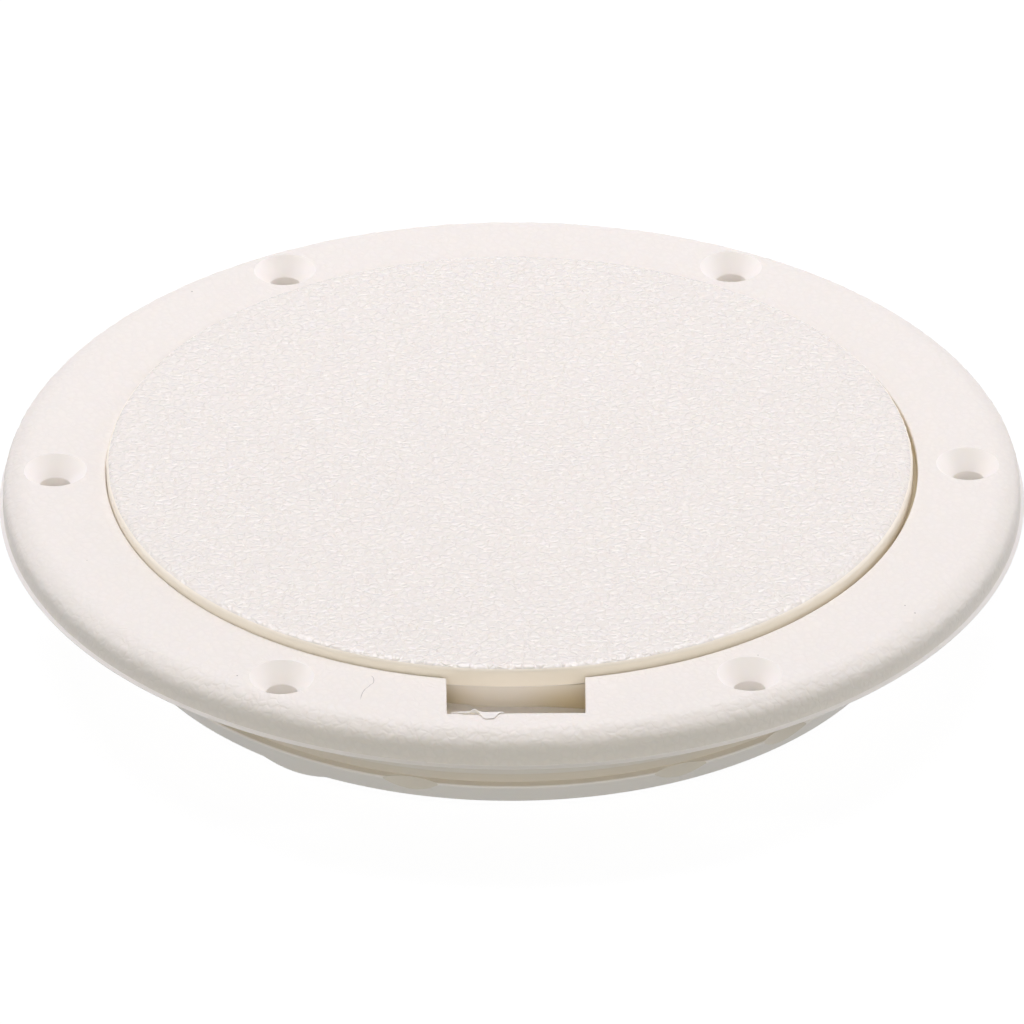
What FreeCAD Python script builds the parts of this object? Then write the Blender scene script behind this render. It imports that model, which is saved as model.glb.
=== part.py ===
"""Pry-out deck inspection plate: a flush deck ring, its press-in lid and the lid's seal ring.

The deck plane is z = 0 and the plate's axis is the Z axis. The flange lies on the deck, the
collar hangs through the deck's cut-out, and the pry slot faces -Y. Lengths are in millimetres
and angles in degrees.
"""
import FreeCAD, Part
import os

import Sketcher

PARTS_FOLDER = "parts"

# How near an edge must lie to the radius and height it is looked up by, in millimetres
EDGE_MATCH = 1e-4

# Driving sizes: alias, value, what it measures
DRIVING_SIZES = (
    ("opening_diameter", 108.0, "clear bore of the collar"),
    ("seat_width", 3.2, "ledge that carries the lid, from the bore to the recess wall"),
    ("border_width", 14.8, "flat border from the recess wall to the flange's outside"),
    ("flange_thickness", 5.0, "flange above the deck"),
    ("edge_lip", 0.5, "upright lip below the flange's rounded edge"),
    ("recess_depth", 1.4, "lid seat below the flange's top"),
    ("collar_wall", 4.5, "collar wall above the groove"),
    ("collar_depth", 14.9, "collar below the deck plane"),
    ("groove_start", 9.3, "collar groove below the deck plane"),
    ("groove_width", 2.1, "height of the collar groove"),
    ("groove_depth", 1.5, "radial depth of the collar groove"),
    ("bead_lead", 2.2, "radial lead-in of the bead at the collar's foot"),
    ("bite_diameter", 18.0, "round bite cut into the bead from outside"),
    ("bite_depth", 1.2, "radial depth of a bite"),
    ("bite_first", 14.5, "angle from the pry slot to the first bite, towards -X"),
    ("bite_second", 23.0, "angle from the pry slot to the second bite, towards +X"),
    ("bite_third", 40.0, "angle from the pry slot to the third bite, towards +X"),
    ("bite_rounds", 2, "times the three bites come round the collar"),
    ("lug_width", 10.3, "chord of a foot lug"),
    ("lug_drop", 0.9, "foot lug below the collar"),
    ("lug_inset", 0.1, "outer face of a foot lug inside the collar's foot"),
    ("lug_thickness", 1.9, "radial thickness of a foot lug"),
    ("lug_root", 1.2, "height over which a foot lug joins the collar"),
    ("lug_turn", 33.0, "angle from the pry slot to the first foot lug, towards -X"),
    ("lug_count", 2, "foot lugs round the collar"),
    ("screw_inset", 6.95, "screw circle outside the recess wall"),
    ("screw_count", 6, "screw holes round the flange"),
    ("screw_hole", 4.4, "clearance hole for a number 8 screw"),
    ("sink_diameter", 9.0, "mouth of the countersink"),
    ("sink_angle", 82.0, "cone of the countersink"),
    ("slot_width", 19.0, "pry slot across"),
    ("slot_reach", 8.2, "pry slot outside the recess wall"),
    ("slot_floor", 0.4, "flange left under the pry slot"),
    ("slot_undercut", 0.3, "how far the pry slot runs in under the lid's rim"),
    ("rim_clearance", 0.55, "radial gap between the lid's rim and the recess wall"),
    ("lid_play", 0.3, "how far the lid lies off the ring's axis, towards -X"),
    ("seat_clearance", 0.3, "gap between the lid's rim and its seat"),
    ("lid_thickness", 2.8, "wall of the lid"),
    ("lid_edge_round", 1.3, "upper edge of the lid"),
    ("lid_lower_bevel", 0.4, "lower edge of the lid's rim"),
    ("plug_clearance", 0.8, "radial gap between the lid's plug and the bore"),
    ("plug_land", 2.4, "plug from the rim's underside to the seal groove"),
    ("plug_foot", 2.0, "plug below the seal groove"),
    ("plug_wall", 2.0, "plug wall behind the seal groove"),
    ("plug_lead", 0.8, "lead-in chamfer at the foot of the plug"),
    ("seal_width", 2.6, "side of the seal ring's square section"),
    ("seal_bevel", 0.5, "bevelled corners of the seal ring's section"),
    ("seal_clearance", 0.5, "radial gap between the seal ring and the bore"),
    ("seal_play", 0.1, "gap between the seal ring and each wall of its groove"),
    ("hub_diameter", 14.0, "round boss under the middle of the lid"),
    ("rib_count", 6, "ribs under the lid"),
    ("rib_thickness", 1.8, "rib wall"),
    ("rib_depth", 4.2, "rib and boss below the lid's wall"),
    ("rib_overlap", 0.4, "rib run into the boss and the plug wall"),
)

# Sizes that follow from the driving ones: alias, formula
DERIVED_SIZES = (
    ("bore_radius", "opening_diameter / 2"),
    ("recess_radius", "bore_radius + seat_width"),
    ("flange_radius", "recess_radius + border_width"),
    ("edge_round", "flange_thickness - edge_lip"),
    ("seat_height", "flange_thickness - recess_depth"),
    ("collar_radius", "bore_radius + collar_wall"),
    ("groove_radius", "collar_radius - groove_depth"),
    ("groove_top", "-groove_start"),
    ("groove_bottom", "groove_top - groove_width"),
    ("foot_radius", "collar_radius - bead_lead"),
    ("foot_height", "-collar_depth"),
    ("bead_height", "groove_bottom - foot_height"),
    ("bite_circle", "collar_radius - bite_depth + bite_diameter / 2"),
    ("bite_first_across", "-bite_circle * sin(bite_first * 1 deg)"),
    ("bite_first_along", "-bite_circle * cos(bite_first * 1 deg)"),
    ("bite_second_across", "bite_circle * sin(bite_second * 1 deg)"),
    ("bite_second_along", "-bite_circle * cos(bite_second * 1 deg)"),
    ("bite_third_across", "bite_circle * sin(bite_third * 1 deg)"),
    ("bite_third_along", "-bite_circle * cos(bite_third * 1 deg)"),
    ("lug_face", "foot_radius - lug_inset"),
    ("lug_side", "lug_width / 2"),
    ("lug_tip", "foot_height - lug_drop"),
    ("lug_top", "foot_height + lug_root"),
    ("screw_radius", "recess_radius + screw_inset"),
    ("slot_side", "slot_width / 2"),
    ("slot_outside", "recess_radius + slot_reach"),
    ("rim_radius", "recess_radius - rim_clearance"),
    ("slot_inside", "rim_radius - slot_undercut"),
    ("slot_depth", "flange_thickness - slot_floor"),
    ("rim_height", "seat_height + seat_clearance"),
    ("lid_top", "rim_height + lid_thickness"),
    ("plug_radius", "bore_radius - plug_clearance"),
    ("rim_bevel_radius", "rim_radius - lid_lower_bevel"),
    ("rim_bevel_height", "rim_height + lid_lower_bevel"),
    ("seal_outer_radius", "bore_radius - seal_clearance"),
    ("seal_outer_bevel", "seal_outer_radius - seal_bevel"),
    ("seal_inner_radius", "seal_outer_radius - seal_width"),
    ("seal_inner_bevel", "seal_inner_radius + seal_bevel"),
    ("seal_groove_radius", "seal_inner_radius - seal_play"),
    ("seal_groove_top", "rim_height - plug_land"),
    ("seal_top", "seal_groove_top - seal_play"),
    ("seal_top_bevel", "seal_top - seal_bevel"),
    ("seal_bottom", "seal_top - seal_width"),
    ("seal_bottom_bevel", "seal_bottom + seal_bevel"),
    ("seal_groove_bottom", "seal_bottom - seal_play"),
    ("plug_bottom", "seal_groove_bottom - plug_foot"),
    ("plug_lead_radius", "plug_radius - plug_lead"),
    ("plug_lead_height", "plug_bottom + plug_lead"),
    ("plug_inner_radius", "seal_groove_radius - plug_wall"),
    ("hub_radius", "hub_diameter / 2"),
    ("rib_bottom", "rim_height - rib_depth"),
    ("rib_side", "rib_thickness / 2"),
    ("rib_inside", "hub_radius - rib_overlap"),
    ("rib_outside", "plug_inner_radius + rib_overlap"),
)


def make_sheet(document):
    """Fill the sheet of sizes: driving values first, then the formulas that follow from them."""
    sheet = document.addObject("Spreadsheet::Sheet", "sizes")
    row = 1
    for alias, value, meaning in DRIVING_SIZES:
        sheet.set(f"A{row}", alias)
        sheet.set(f"B{row}", str(value))
        sheet.set(f"C{row}", meaning)
        sheet.setAlias(f"B{row}", alias)
        row += 1
    for alias, formula in DERIVED_SIZES:
        sheet.set(f"A{row}", alias)
        sheet.set(f"B{row}", f"={formula}")
        sheet.setAlias(f"B{row}", alias)
        row += 1
    document.recompute()
    return sheet


class PieceBuilder:
    """One moulded or ring-shaped piece: a body whose features take their sizes from the sheet."""

    def __init__(self, document, sheet, label):
        self.document = document
        self.sheet = sheet
        self.body = document.addObject("PartDesign::Body", label)
        self.body.Label = label

    def origin_feature(self, role):
        """The body's own plane or axis with that role."""
        return next(f for f in self.body.Origin.OriginFeatures if f.Role == role)

    def sketch(self, name, plane):
        """An empty sketch on one of the body's own planes."""
        sketch = self.body.newObject("Sketcher::SketchObject", name)
        sketch.AttachmentSupport = (self.origin_feature(plane), [""])
        sketch.MapMode = "FlatFace"
        return sketch

    def level(self, sketch, alias):
        """Lift a sketch off its plane to a height of the sheet."""
        sketch.setExpression("AttachmentOffset.Base.z", f"sizes.{alias}")

    def value(self, alias):
        """A size as a plain number, with a minus sign in front of the alias where it is wanted."""
        if alias.startswith("-"):
            return -float(self.sheet.get(alias[1:]))
        return float(self.sheet.get(alias))

    def bind(self, sketch, kind, first, second, alias):
        """A dimension of a sketch, bound to a cell. The first point is (geometry, point)."""
        index = sketch.addConstraint(Sketcher.Constraint(kind, *first, *second, self.value(alias)))
        name = f"size_{index}"
        sketch.renameConstraint(index, name)
        sign = "-" if alias.startswith("-") else ""
        sketch.setExpression(f"Constraints.{name}", f"{sign}sizes.{alias.lstrip('-')}")

    def place(self, sketch, geometry, point, across, up):
        """Fix one point of a sketch by its two aliases. None puts it on the sketch's own axis."""
        if across is None:
            sketch.addConstraint(Sketcher.Constraint("PointOnObject", geometry, point, -2))
        else:
            self.bind(sketch, "DistanceX", (-1, 1), (geometry, point), across)
        if up is None:
            sketch.addConstraint(Sketcher.Constraint("PointOnObject", geometry, point, -1))
        else:
            self.bind(sketch, "DistanceY", (-1, 1), (geometry, point), up)

    def corner(self, across, up):
        """The starting position of a corner given by two aliases."""
        x = 0.0 if across is None else self.value(across)
        y = 0.0 if up is None else self.value(up)
        return FreeCAD.Vector(x, y, 0)

    def outline(self, sketch, corners):
        """A closed outline of straight runs through corners, each a pair of aliases."""
        spots = [self.corner(*corner) for corner in corners]
        first = sketch.GeometryCount
        for start, end in zip(spots, spots[1:] + spots[:1]):
            sketch.addGeometry(Part.LineSegment(start, end), False)
        for step, corner in enumerate(corners):
            line = first + step
            before = first + (step - 1) % len(corners)
            sketch.addConstraint(Sketcher.Constraint("Coincident", before, 2, line, 1))
            self.place(sketch, line, 1, *corner)

    def close_loop(self, sketch, count):
        """Join the first lines and arcs of a sketch end to start into a loop."""
        for this in range(count):
            sketch.addConstraint(Sketcher.Constraint("Coincident", this, 2, (this + 1) % count, 1))

    def revolve(self, name, sketch):
        """Turn a profile once round the upright axis."""
        feature = self.body.newObject("PartDesign::Revolution", name)
        feature.Profile = sketch
        feature.ReferenceAxis = (sketch, ["V_Axis"])
        feature.Angle = 360.0
        self.document.recompute()
        return feature

    def repeat(self, name, originals, count_alias):
        """Repeat features evenly round the plate's axis."""
        feature = self.body.newObject("PartDesign::PolarPattern", name)
        feature.Originals = originals
        feature.Axis = (self.origin_feature("Z_Axis"), [""])
        feature.Angle = 360.0
        feature.setExpression("Occurrences", f"sizes.{count_alias}")
        self.body.Tip = feature
        self.document.recompute()
        return feature

    def lie_off_centre(self):
        """Set the finished piece where the lid lies in its recess, against the -X side."""
        self.body.setExpression("Placement.Base.x", "-sizes.lid_play")
        self.document.recompute()

    def ring_edge(self, base, radius_alias, height_alias):
        """The name of the round edge at that radius and height about the plate's axis."""
        radius, height = self.value(radius_alias), self.value(height_alias)
        for number, edge in enumerate(base.Shape.Edges, start=1):
            curve = edge.Curve
            if not isinstance(curve, Part.Circle):
                continue
            on_axis = (curve.Center - FreeCAD.Vector(0, 0, height)).Length < EDGE_MATCH
            if on_axis and abs(curve.Radius - radius) < EDGE_MATCH:
                return f"Edge{number}"
        raise ValueError(f"{base.Name} has no round edge at {radius_alias}, {height_alias}")

    def round_edge(self, name, base, radius_alias, height_alias, size_alias):
        """Round one circular edge of the body."""
        feature = self.body.newObject("PartDesign::Fillet", name)
        feature.Base = (base, [self.ring_edge(base, radius_alias, height_alias)])
        feature.setExpression("Radius", f"sizes.{size_alias}")
        self.document.recompute()
        return feature


def make_deck_ring(document, sheet):
    """The deck ring: flange, lid seat and grooved collar, moulded in one piece."""
    ring = PieceBuilder(document, sheet, "deck_ring")
    profile = ring.sketch("ring_profile", "XZ_Plane")
    ring.outline(profile, (
        ("bore_radius", "foot_height"),
        ("foot_radius", "foot_height"),
        ("collar_radius", "groove_bottom"),
        ("groove_radius", "groove_bottom"),
        ("groove_radius", "groove_top"),
        ("collar_radius", "groove_top"),
        ("collar_radius", None),
        ("flange_radius", None),
        ("flange_radius", "flange_thickness"),
        ("recess_radius", "flange_thickness"),
        ("recess_radius", "seat_height"),
        ("bore_radius", "seat_height"),
    ))
    blank = ring.revolve("ring_blank", profile)
    ring.round_edge("flange_edge", blank, "flange_radius", "flange_thickness", "edge_round")
    cut_pry_slot(ring)
    cut_screw_holes(ring)
    cut_bead_bites(ring)
    add_foot_lugs(ring)
    return ring.body


def cut_pry_slot(ring):
    """The pry slot: straight sides and outer edge, and a back wall that follows the lid's rim."""
    sketch = ring.sketch("slot_outline", "XY_Plane")
    ring.level(sketch, "flange_thickness")
    side, inside, outside = (ring.value(a) for a in ("slot_side", "slot_inside", "slot_outside"))
    back = -(inside ** 2 - side ** 2) ** 0.5
    left_back, right_back = FreeCAD.Vector(-side, back, 0), FreeCAD.Vector(side, back, 0)
    left_front, right_front = FreeCAD.Vector(-side, -outside, 0), FreeCAD.Vector(side, -outside, 0)
    middle_back = FreeCAD.Vector(0, -inside, 0)
    sketch.addGeometry(Part.Arc(left_back, middle_back, right_back), False)
    sketch.addGeometry(Part.LineSegment(right_back, right_front), False)
    sketch.addGeometry(Part.LineSegment(right_front, left_front), False)
    sketch.addGeometry(Part.LineSegment(left_front, left_back), False)
    ring.close_loop(sketch, 4)
    sketch.addConstraint(Sketcher.Constraint("Coincident", 0, 3, -1, 1))
    sketch.addConstraint(Sketcher.Constraint("Vertical", 1))
    sketch.addConstraint(Sketcher.Constraint("Vertical", 3))
    ring.place(sketch, 2, 1, "slot_side", "-slot_outside")
    ring.place(sketch, 2, 2, "-slot_side", "-slot_outside")
    radius = sketch.addConstraint(Sketcher.Constraint("Radius", 0, inside))
    sketch.renameConstraint(radius, "back_wall")
    sketch.setExpression("Constraints.back_wall", "sizes.slot_inside")
    slot = ring.body.newObject("PartDesign::Pocket", "pry_slot")
    slot.Profile = sketch
    slot.setExpression("Length", "sizes.slot_depth")
    ring.document.recompute()


def cut_screw_holes(ring):
    """Countersunk screw holes round the flange, the first on +X."""
    sketch = ring.sketch("screw_centre", "XY_Plane")
    ring.level(sketch, "flange_thickness")
    centre = FreeCAD.Vector(ring.value("screw_radius"), 0, 0)
    circle = Part.Circle(centre, FreeCAD.Vector(0, 0, 1), ring.value("screw_hole") / 2)
    sketch.addGeometry(circle, False)
    ring.place(sketch, 0, 3, "screw_radius", None)
    width = sketch.addConstraint(Sketcher.Constraint("Diameter", 0, ring.value("screw_hole")))
    sketch.renameConstraint(width, "width")
    sketch.setExpression("Constraints.width", "sizes.screw_hole")
    ring.document.recompute()
    hole = ring.body.newObject("PartDesign::Hole", "screw_hole")
    hole.Profile = sketch
    ring.document.recompute()
    hole.ThreadType = "None"
    hole.DepthType = "ThroughAll"
    hole.HoleCutType = "Countersink"
    hole.HoleCutCustomValues = True
    hole.setExpression("Diameter", "sizes.screw_hole")
    hole.setExpression("HoleCutDiameter", "sizes.sink_diameter")
    hole.setExpression("HoleCutCountersinkAngle", "sizes.sink_angle")
    ring.document.recompute()
    ring.repeat("screw_holes", [hole], "screw_count")


def cut_bead_bites(ring):
    """Three round bites in the bead below the collar's groove, repeated round the collar."""
    sketch = ring.sketch("bite_circles", "XY_Plane")
    ring.level(sketch, "groove_bottom")
    for number, name in enumerate(("bite_first", "bite_second", "bite_third")):
        centre = ring.corner(f"{name}_across", f"{name}_along")
        sketch.addGeometry(Part.Circle(centre, FreeCAD.Vector(0, 0, 1), ring.value("bite_diameter") / 2), False)
        ring.place(sketch, number, 3, f"{name}_across", f"{name}_along")
        width = sketch.addConstraint(Sketcher.Constraint("Diameter", number, ring.value("bite_diameter")))
        sketch.renameConstraint(width, f"{name}_width")
        sketch.setExpression(f"Constraints.{name}_width", "sizes.bite_diameter")
    bites = ring.body.newObject("PartDesign::Pocket", "bead_bites")
    bites.Profile = sketch
    bites.setExpression("Length", "sizes.bead_height")
    ring.document.recompute()
    ring.repeat("bites_round", [bites], "bite_rounds")


def add_foot_lugs(ring):
    """Shallow round-bottomed lugs under the foot of the collar."""
    sketch = ring.sketch("lug_outline", "XZ_Plane")
    sketch.AttachmentOffset = FreeCAD.Placement(
        FreeCAD.Vector(0, 0, 0), FreeCAD.Rotation(FreeCAD.Vector(0, -1, 0), 1.0))
    sketch.setExpression("AttachmentOffset.Rotation.Angle", "sizes.lug_turn")
    sketch.setExpression("AttachmentOffset.Base.x", "-sizes.lug_face * sin(sizes.lug_turn * 1 deg)")
    sketch.setExpression("AttachmentOffset.Base.z", "sizes.lug_face * cos(sizes.lug_turn * 1 deg)")
    left, right = ring.corner("-lug_side", "foot_height"), ring.corner("lug_side", "foot_height")
    tip = ring.corner(None, "lug_tip")
    left_top, right_top = ring.corner("-lug_side", "lug_top"), ring.corner("lug_side", "lug_top")
    sketch.addGeometry(Part.Arc(left, tip, right), False)
    sketch.addGeometry(Part.LineSegment(right, right_top), False)
    sketch.addGeometry(Part.LineSegment(right_top, left_top), False)
    sketch.addGeometry(Part.LineSegment(left_top, left), False)
    sketch.addGeometry(Part.Point(tip), True)
    ring.close_loop(sketch, 4)
    sketch.addConstraint(Sketcher.Constraint("PointOnObject", 4, 1, 0))
    ring.place(sketch, 4, 1, None, "lug_tip")
    ring.place(sketch, 1, 1, "lug_side", "foot_height")
    ring.place(sketch, 2, 1, "lug_side", "lug_top")
    ring.place(sketch, 2, 2, "-lug_side", "lug_top")
    ring.place(sketch, 3, 2, "-lug_side", "foot_height")
    lug = ring.body.newObject("PartDesign::Pad", "foot_lug")
    lug.Profile = sketch
    lug.setExpression("Length", "sizes.lug_thickness")
    lug.Reversed = True
    ring.document.recompute()
    ring.repeat("foot_lugs", [lug], "lug_count")


def make_lid(document, sheet):
    """The lid: disc, plug with its seal groove, centre boss and ribs, moulded in one piece."""
    lid = PieceBuilder(document, sheet, "lid")
    profile = lid.sketch("lid_profile", "XZ_Plane")
    lid.outline(profile, (
        (None, "rib_bottom"),
        ("hub_radius", "rib_bottom"),
        ("hub_radius", "rim_height"),
        ("plug_inner_radius", "rim_height"),
        ("plug_inner_radius", "plug_bottom"),
        ("plug_lead_radius", "plug_bottom"),
        ("plug_radius", "plug_lead_height"),
        ("plug_radius", "seal_groove_bottom"),
        ("seal_groove_radius", "seal_groove_bottom"),
        ("seal_groove_radius", "seal_groove_top"),
        ("plug_radius", "seal_groove_top"),
        ("plug_radius", "rim_height"),
        ("rim_bevel_radius", "rim_height"),
        ("rim_radius", "rim_bevel_height"),
        ("rim_radius", "lid_top"),
        (None, "lid_top"),
    ))
    blank = lid.revolve("lid_blank", profile)
    lid.round_edge("lid_edge", blank, "rim_radius", "lid_top", "lid_edge_round")
    add_lid_ribs(lid)
    lid.lie_off_centre()
    return lid.body


def add_lid_ribs(lid):
    """Straight ribs under the lid, from the centre boss to the plug wall."""
    sketch = lid.sketch("rib_outline", "XY_Plane")
    lid.level(sketch, "rib_bottom")
    lid.outline(sketch, (
        ("rib_inside", "-rib_side"),
        ("rib_outside", "-rib_side"),
        ("rib_outside", "rib_side"),
        ("rib_inside", "rib_side"),
    ))
    rib = lid.body.newObject("PartDesign::Pad", "rib")
    rib.Profile = sketch
    rib.setExpression("Length", "sizes.rib_depth")
    lid.document.recompute()
    lid.repeat("ribs", [rib], "rib_count")


def make_seal_ring(document, sheet):
    """The rubber seal ring, seated in the plug's groove."""
    seal = PieceBuilder(document, sheet, "seal_ring")
    section = seal.sketch("seal_section", "XZ_Plane")
    seal.outline(section, (
        ("seal_inner_radius", "seal_bottom_bevel"),
        ("seal_inner_bevel", "seal_bottom"),
        ("seal_outer_bevel", "seal_bottom"),
        ("seal_outer_radius", "seal_bottom_bevel"),
        ("seal_outer_radius", "seal_top_bevel"),
        ("seal_outer_bevel", "seal_top"),
        ("seal_inner_bevel", "seal_top"),
        ("seal_inner_radius", "seal_top_bevel"),
    ))
    seal.revolve("seal_hoop", section)
    seal.lie_off_centre()
    return seal.body


def check(document, bodies):
    """Stop if any object failed or any piece isn't one sound solid."""
    failed = [o.Name for o in document.Objects if {"Invalid", "Error"} & set(o.State)]
    if failed:
        raise RuntimeError(f"failed objects: {failed}")
    for body in bodies:
        if body.Shape.isNull() or not body.Shape.isValid() or len(body.Shape.Solids) != 1:
            raise RuntimeError(f"{body.Label} isn't one sound solid")


def main():
    """Build the pieces and write each one to its own file."""
    document = FreeCAD.newDocument("deck_plate")
    sheet = make_sheet(document)
    makers = (make_deck_ring, make_lid, make_seal_ring)
    bodies = [make(document, sheet) for make in makers]
    document.recompute()
    check(document, bodies)
    os.makedirs(PARTS_FOLDER, exist_ok=True)
    for body in bodies:
        body.Shape.exportStep(f"{PARTS_FOLDER}/{body.Label}.step")
        box = body.Shape.BoundBox
        print(f"{body.Label}: {body.Shape.Volume / 1000:.2f} cm3, "
              f"{box.XLength:.2f} x {box.YLength:.2f} x {box.ZLength:.2f} mm, "
              f"z {box.ZMin:.2f} to {box.ZMax:.2f}")


main()
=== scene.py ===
"""Dresses the pry-out deck inspection plate: deck ring, press-in lid and the lid's seal ring.

Everything is in metres in the frame of the loaded model: the deck plane is z = 0, +Z points out
of the deck and the pry slot faces -Y. The sizes in the classes below are written in millimetres
and turned into metres where a mesh is filled.
"""

import logging
import math
from dataclasses import dataclass, field, replace
from enum import Enum, IntEnum
from functools import partial, reduce

import bpy
import numpy as np
from bpy.types import Material, Node, NodeSocket, NodeTree, Object
from mathutils import Matrix, Vector

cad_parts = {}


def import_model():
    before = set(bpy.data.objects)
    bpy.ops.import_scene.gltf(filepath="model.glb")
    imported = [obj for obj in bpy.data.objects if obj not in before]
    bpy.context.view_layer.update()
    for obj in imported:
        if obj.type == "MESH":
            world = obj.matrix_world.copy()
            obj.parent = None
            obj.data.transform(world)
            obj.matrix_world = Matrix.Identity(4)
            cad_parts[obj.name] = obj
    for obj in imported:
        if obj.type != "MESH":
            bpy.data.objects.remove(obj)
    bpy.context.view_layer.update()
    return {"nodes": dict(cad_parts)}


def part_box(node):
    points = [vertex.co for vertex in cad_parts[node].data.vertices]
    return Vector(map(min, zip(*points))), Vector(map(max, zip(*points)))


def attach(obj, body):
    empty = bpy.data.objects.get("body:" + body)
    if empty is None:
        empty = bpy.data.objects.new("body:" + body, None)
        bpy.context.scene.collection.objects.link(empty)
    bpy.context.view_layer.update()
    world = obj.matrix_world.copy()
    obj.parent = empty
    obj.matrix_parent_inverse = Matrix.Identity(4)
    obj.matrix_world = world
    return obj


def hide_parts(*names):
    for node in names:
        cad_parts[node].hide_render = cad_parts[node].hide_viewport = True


LOG = logging.getLogger("deck_plate")
MM = 0.001
# Cutting tools are turned by this angle in radians, so that their edges don't meet the ring's.
TOOL_TURN = 0.0123
CREASE = 30.0
VECTOR, FLOAT = "NodeSocketVector", "NodeSocketFloat"


class Face(IntEnum):
    """What a stretch of a moulding's skin is like, and the material slot that dresses it."""

    GRAINED = 0
    SMOOTH = 1
    # A lighter copy of the plastic's colour: painted light on stretches that catch more light.
    PAINTED_LIGHT = 2


class Solver(Enum):
    """How a tool shape is put into a moulding."""

    CUT = "DIFFERENCE"
    JOIN = "UNION"


@dataclass(frozen=True)
class Corner:
    """One corner of a turned section, in millimetres.

    Attributes:
        radius: distance from the piece's axis.
        height: height above the deck.
        rounding: radius of the arc that replaces the corner.
        steps: number of straight pieces in that arc.
        face: skin of the arc and of the stretch that follows it.
        relief: depth of the grain pressed into the arc, in millimetres.
    """

    radius: float
    height: float
    rounding: float = 0.0
    steps: int = 3
    face: Face = Face.SMOOTH
    relief: float = 0.0


@dataclass(frozen=True)
class Section:
    """A turned section as arrays: one row for each point.

    Attributes:
        points: radius and height of each point, in millimetres.
        faces: skin of the stretch that follows each point.
        relief: grain depth at each point, in millimetres.
    """

    points: np.ndarray
    faces: np.ndarray
    relief: np.ndarray

    def dressed(self, face: Face) -> "Section":
        """The same section with one skin all over."""
        return replace(self, faces=np.full(len(self.points), int(face)))


def corner_arc(before: np.ndarray, corner: Corner, after: np.ndarray) -> np.ndarray:
    """Points of the arc that rounds a corner.

    The arc's ends lie rounding / tan(half the corner's angle) from the corner, its centre lies
    on the corner's bisector, and its points turn evenly from one end to the other.

    Args:
        before: the corner before this one, radius and height.
        corner: the corner to round.
        after: the corner after this one.

    Returns:
        One row for each point, radius and height.
    """
    here = np.array([corner.radius, corner.height])
    if corner.rounding == 0.0:
        return here[None, :]
    back = (before - here) / np.linalg.norm(before - here)
    ahead = (after - here) / np.linalg.norm(after - here)
    half = math.acos(float(np.clip(back @ ahead, -1.0, 1.0))) / 2
    reach = corner.rounding / math.tan(half)
    bisector = (back + ahead) / np.linalg.norm(back + ahead)
    centre = here + bisector * corner.rounding / math.sin(half)
    first = here + back * reach - centre
    last = here + ahead * reach - centre
    start = math.atan2(first[1], first[0])
    turn = (math.atan2(last[1], last[0]) - start + math.pi) % (2 * math.pi) - math.pi
    angles = start + turn * np.linspace(0.0, 1.0, corner.steps + 1)
    return centre + corner.rounding * np.stack([np.cos(angles), np.sin(angles)], axis=1)


def rounded_section(corners: list[Corner], closed: bool) -> Section:
    """Turn a list of corners into a section with its corners rounded.

    Args:
        corners: the corners in order, with the material on the right-hand side of the way.
        closed: True where the last corner leads back to the first.

    Returns:
        The section's points, skins and grain depths.
    """
    places = np.array([[c.radius, c.height] for c in corners])
    points, faces, relief = [], [], []
    last = len(corners) - 1
    for i, corner in enumerate(corners):
        at_end = not closed and i in (0, last)
        sharp = Corner(corner.radius, corner.height) if at_end else corner
        arc = corner_arc(places[i - 1], sharp, places[(i + 1) % len(corners)])
        points.append(arc)
        faces.append(np.full(len(arc), int(corner.face)))
        relief.append(np.full(len(arc), corner.relief))
    return Section(np.concatenate(points), np.concatenate(faces), np.concatenate(relief))


def lattice_noise(points: np.ndarray, cell: float) -> np.ndarray:
    """Smooth noise from 0 to 1 over points in space.

    Each corner of a cubic lattice has a fixed value, the fraction of a large sine of its
    indices, and between corners the values are blended by 3 t squared minus 2 t cubed.

    Args:
        points: one row for each point.
        cell: width of the lattice's cells, in the points' unit.

    Returns:
        One value for each point.
    """
    scaled = points / cell
    base = np.floor(scaled)
    share = scaled - base
    share = share * share * (3.0 - 2.0 * share)
    mix = np.array([127.1, 311.7, 74.7])
    total = np.zeros(len(points))
    for step in np.ndindex(2, 2, 2):
        corner = np.array(step)
        value = np.modf(np.abs(np.sin((base + corner) @ mix)) * 43758.5453)[0]
        weight = np.prod(np.where(corner == 1, share, 1.0 - share), axis=1)
        total += value * weight
    return total


def grid_quads(rows: int, columns: int, wrap_rows: bool) -> np.ndarray:
    """Quads of a grid that is closed round its columns.

    Args:
        rows: number of rows of vertices.
        columns: number of vertices in each row.
        wrap_rows: True where the last row joins the first.

    Returns:
        Four vertex numbers for each quad, row by row.
    """
    row = np.arange(rows if wrap_rows else rows - 1)[:, None]
    column = np.arange(columns)[None, :]
    next_row, next_column = (row + 1) % rows, (column + 1) % columns
    quads = [row * columns + column, next_row * columns + column,
             next_row * columns + next_column, row * columns + next_column]
    return np.stack(np.broadcast_arrays(*quads), axis=-1).reshape(-1, 4)


def new_object(name: str, data: bpy.types.ID) -> Object:
    """Make an object and link it to the scene."""
    made = bpy.data.objects.new(name, data)
    bpy.context.scene.collection.objects.link(made)
    return made


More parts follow.
